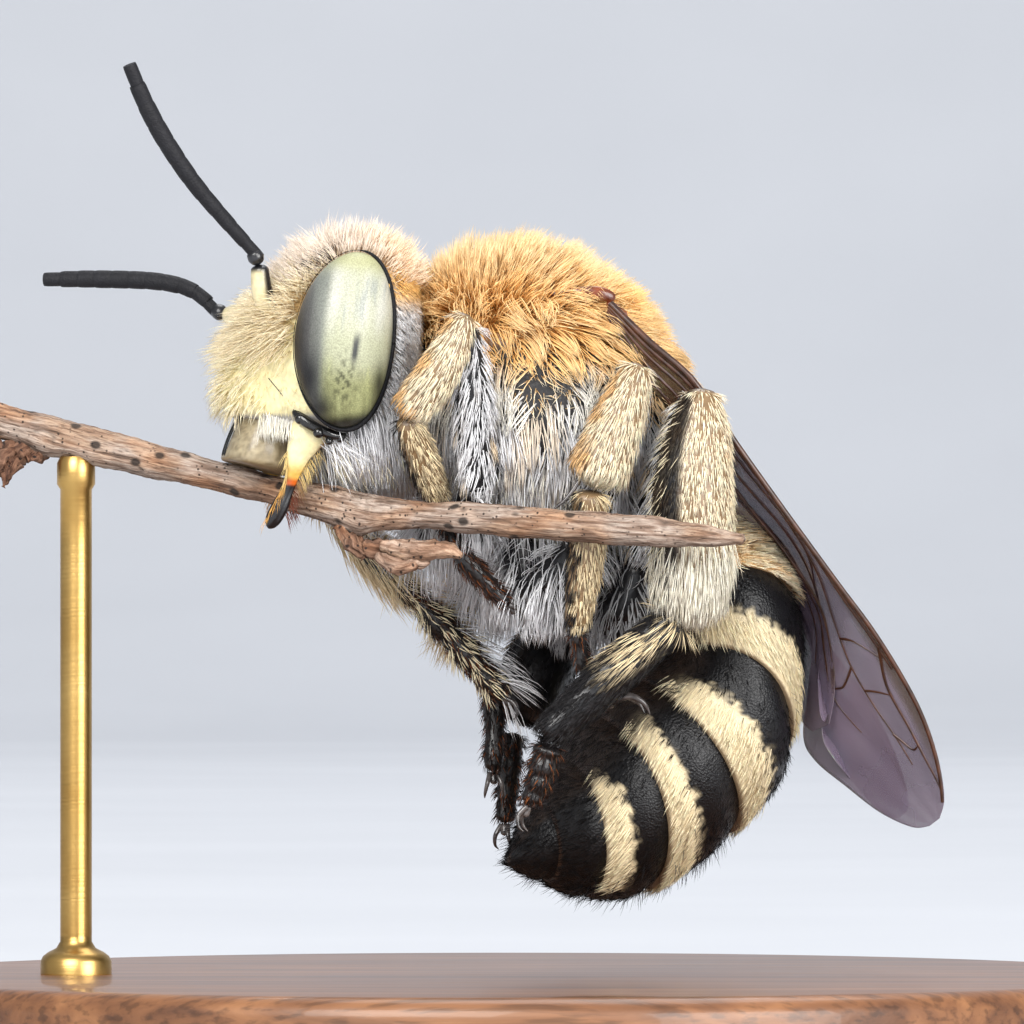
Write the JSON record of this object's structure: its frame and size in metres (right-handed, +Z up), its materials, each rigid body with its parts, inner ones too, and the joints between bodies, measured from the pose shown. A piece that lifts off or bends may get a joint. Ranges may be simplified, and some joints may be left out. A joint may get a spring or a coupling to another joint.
{
  "type": "bee",
  "caption": "Life-size model of a banded digger bee asleep with its jaws closed on a dry twig, abdomen curled under and wings folded, on a round stand with a rod.",
  "frame": {"origin": "centre of the underside of the stand's round base, on the floor", "axes": "+Z up; the bee faces -X, turned 15 degrees so that its head comes toward -Y; its left side faces -Y"},
  "size_m": [0.02, 0.02, 0.0158],
  "materials": {
    "coat": "soft upright and swept hair, tawny above and silver-white at the sides",
    "eye": "smooth faceted dome, grey green with paler streaks",
    "pale_face": "waxy cream yellow, black at the jaw tips",
    "dark_shell": "finely granular matt black",
    "banded_shell": "black plates with cream bands of flat hair",
    "leg_coat": "black shell under flat cream hair",
    "wing": "smoky brown clear membrane with dark veins",
    "tegula": "shining red brown scale",
    "bark": "dry weathered grey brown bark",
    "stand_wood": "turned and waxed",
    "stand_brass": "satin"
  },
  "bodies": {
    "root": {"head": "coat", "thorax": "coat", "eye_left": "eye", "eye_right": "eye", "labrum": "pale_face", "mandible_left": "pale_face", "scape_left": "pale_face", "flagellum_left": "dark_shell", "tegula_left": "tegula", "forewing_left": "wing", "hindwing_left": "wing", "mandible_right": "pale_face", "scape_right": "pale_face", "flagellum_right": "dark_shell", "tegula_right": "tegula", "forewing_right": "wing", "hindwing_right": "wing", "abdomen_1": "banded_shell", "abdomen_2": "banded_shell", "abdomen_3": "banded_shell", "abdomen_4": "banded_shell", "abdomen_5": "banded_shell", "abdomen_6": "banded_shell", "abdomen_7": "banded_shell", "fore_femur_left": "leg_coat", "fore_femur_right": "leg_coat", "fore_tibia_left": "leg_coat", "fore_tibia_right": "leg_coat", "fore_basitarsus_left": "leg_coat", "fore_basitarsus_right": "leg_coat", "fore_tarsus_left": "leg_coat", "fore_tarsus_right": "leg_coat", "mid_femur_left": "leg_coat", "mid_femur_right": "leg_coat", "mid_tibia_left": "leg_coat", "mid_tibia_right": "leg_coat", "mid_basitarsus_left": "leg_coat", "mid_basitarsus_right": "leg_coat", "mid_tarsus_left": "leg_coat", "mid_tarsus_right": "leg_coat", "hind_femur_left": "leg_coat", "hind_femur_right": "leg_coat", "hind_tibia_left": "leg_coat", "hind_tibia_right": "leg_coat", "hind_basitarsus_left": "leg_coat", "hind_basitarsus_right": "leg_coat", "hind_tarsus_left": "leg_coat", "hind_tarsus_right": "leg_coat", "twig": "bark", "twig_bud": "bark", "twig_bark_flap": "bark", "stand_base": "stand_wood", "stand_rod": "stand_brass"}
  },
  "joints": []
}
